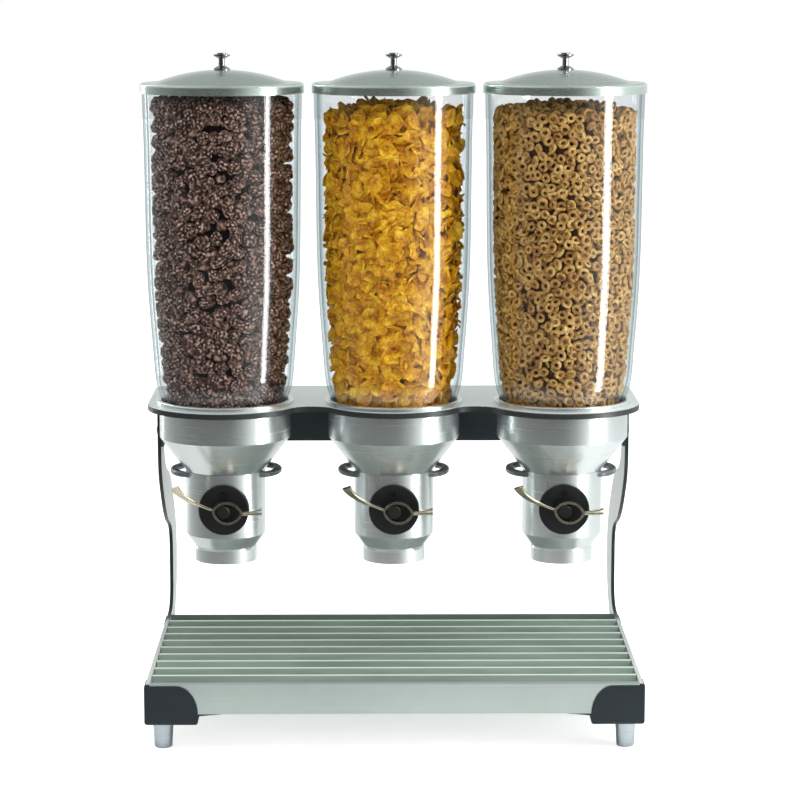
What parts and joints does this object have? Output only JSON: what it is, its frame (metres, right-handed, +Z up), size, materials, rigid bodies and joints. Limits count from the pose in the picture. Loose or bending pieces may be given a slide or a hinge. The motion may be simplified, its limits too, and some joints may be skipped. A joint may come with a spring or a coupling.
{
  "type": "cereal dispenser",
  "caption": "Counter-top dry food dispenser: clear lidded hoppers in a metal stand, each over a funnel and hand-turned portion valve, with a slatted tray below.",
  "frame": {"origin": "centre of the bounding box on the ground, under the feet", "axes": "+Z up; -Y is the front, with the levers; +X is to the right, seen from the front"},
  "size_m": [0.5348, 0.4346, 0.7223],
  "materials": {
    "panel_coat": "satin grey coat with dark edges",
    "black_coat": "satin black coat",
    "brushed_sheet": "brushed sheet",
    "tray_sheet": "dull folded sheet",
    "grille_bar": "bright top edges and dull flanks",
    "cap_plastic": "fine grain black",
    "foot_metal": "turned",
    "screw_steel": "zinc grey",
    "satin_aluminium": "fine satin turned finish",
    "clear_wall": "clear polished",
    "lid_steel": "satin spun sheet",
    "knob_chrome": "polished",
    "loop_plastic": "satin dark grey",
    "cover_plastic": "smooth black",
    "small_screw": "blackened",
    "shaft_steel": "ground",
    "lever_steel": "warm satin steel",
    "wheel_rubber": "soft food-grade vanes"
  },
  "bodies": {
    "stand": {"side_panel_left": "panel_coat", "side_panel_right": "panel_coat", "skirt_screws_left": "screw_steel", "skirt_screws_right": "screw_steel", "corner_cap_front_left": "cap_plastic", "foot_front_left": "foot_metal", "corner_cap_front_right": "cap_plastic", "foot_front_right": "foot_metal", "corner_cap_rear_left": "cap_plastic", "foot_rear_left": "foot_metal", "corner_cap_rear_right": "cap_plastic", "foot_rear_right": "foot_metal", "front_fascia": "brushed_sheet", "rear_rail": "brushed_sheet", "crumb_tray": "tray_sheet", "support_plate": "brushed_sheet", "rear_skirt": "black_coat", "left_funnel": "satin_aluminium", "middle_funnel": "satin_aluminium", "right_funnel": "satin_aluminium"},
    "grille": {"grille_slats": "grille_bar", "grille_bearers": "grille_bar"},
    "left_hopper": {"left_container": "clear_wall"},
    "left_lid": {"left_lid": "lid_steel", "left_lid_knob": "knob_chrome"},
    "left_valve": {"left_valve_body": "satin_aluminium", "left_spout": "satin_aluminium", "left_finger_loops": "loop_plastic", "left_valve_cover": "cover_plastic", "left_cover_screw": "small_screw"},
    "left_rotor": {"left_rotor_shaft": "shaft_steel", "left_portion_wheel": "wheel_rubber", "left_lever_hub": "cover_plastic", "left_lever": "lever_steel"},
    "middle_hopper": {"middle_container": "clear_wall"},
    "middle_lid": {"middle_lid": "lid_steel", "middle_lid_knob": "knob_chrome"},
    "middle_valve": {"middle_valve_body": "satin_aluminium", "middle_spout": "satin_aluminium", "middle_finger_loops": "loop_plastic", "middle_valve_cover": "cover_plastic", "middle_cover_screw": "small_screw"},
    "middle_rotor": {"middle_rotor_shaft": "shaft_steel", "middle_portion_wheel": "wheel_rubber", "middle_lever_hub": "cover_plastic", "middle_lever": "lever_steel"},
    "right_hopper": {"right_container": "clear_wall"},
    "right_lid": {"right_lid": "lid_steel", "right_lid_knob": "knob_chrome"},
    "right_valve": {"right_valve_body": "satin_aluminium", "right_spout": "satin_aluminium", "right_finger_loops": "loop_plastic", "right_valve_cover": "cover_plastic", "right_cover_screw": "small_screw"},
    "right_rotor": {"right_rotor_shaft": "shaft_steel", "right_portion_wheel": "wheel_rubber", "right_lever_hub": "cover_plastic", "right_lever": "lever_steel"}
  },
  "joints": [
    {"name": "grille_lift", "type": "slide", "parent": "stand", "child": "grille", "axis": [0, 0, 1], "range_m": [0, 0.06]},
    {"name": "left_hopper_lift", "type": "slide", "parent": "stand", "child": "left_hopper", "axis": [0, 0, 1], "range_m": [0, 0.06]},
    {"name": "left_lid_lift", "type": "slide", "parent": "left_hopper", "child": "left_lid", "axis": [0, 0, 1], "range_m": [0, 0.08]},
    {"name": "left_valve_twist", "type": "hinge", "parent": "stand", "child": "left_valve", "pos_m": [-0.181, -0.08875, 0.241], "axis": [0, 0, 1], "range_deg": [-40, 0]},
    {"name": "left_rotor_turn", "type": "hinge", "parent": "left_valve", "child": "left_rotor", "pos_m": [-0.181, -0.08875, 0.241], "axis": [0, 1, 0], "continuous": true},
    {"name": "middle_hopper_lift", "type": "slide", "parent": "stand", "child": "middle_hopper", "axis": [0, 0, 1], "range_m": [0, 0.06]},
    {"name": "middle_lid_lift", "type": "slide", "parent": "middle_hopper", "child": "middle_lid", "axis": [0, 0, 1], "range_m": [0, 0.08]},
    {"name": "middle_valve_twist", "type": "hinge", "parent": "stand", "child": "middle_valve", "pos_m": [0, -0.08875, 0.241], "axis": [0, 0, 1], "range_deg": [-40, 0]},
    {"name": "middle_rotor_turn", "type": "hinge", "parent": "middle_valve", "child": "middle_rotor", "pos_m": [0, -0.08875, 0.241], "axis": [0, 1, 0], "continuous": true},
    {"name": "right_hopper_lift", "type": "slide", "parent": "stand", "child": "right_hopper", "axis": [0, 0, 1], "range_m": [0, 0.06]},
    {"name": "right_lid_lift", "type": "slide", "parent": "right_hopper", "child": "right_lid", "axis": [0, 0, 1], "range_m": [0, 0.08]},
    {"name": "right_valve_twist", "type": "hinge", "parent": "stand", "child": "right_valve", "pos_m": [0.181, -0.08875, 0.241], "axis": [0, 0, 1], "range_deg": [-40, 0]},
    {"name": "right_rotor_turn", "type": "hinge", "parent": "right_valve", "child": "right_rotor", "pos_m": [0.181, -0.08875, 0.241], "axis": [0, 1, 0], "continuous": true}
  ]
}
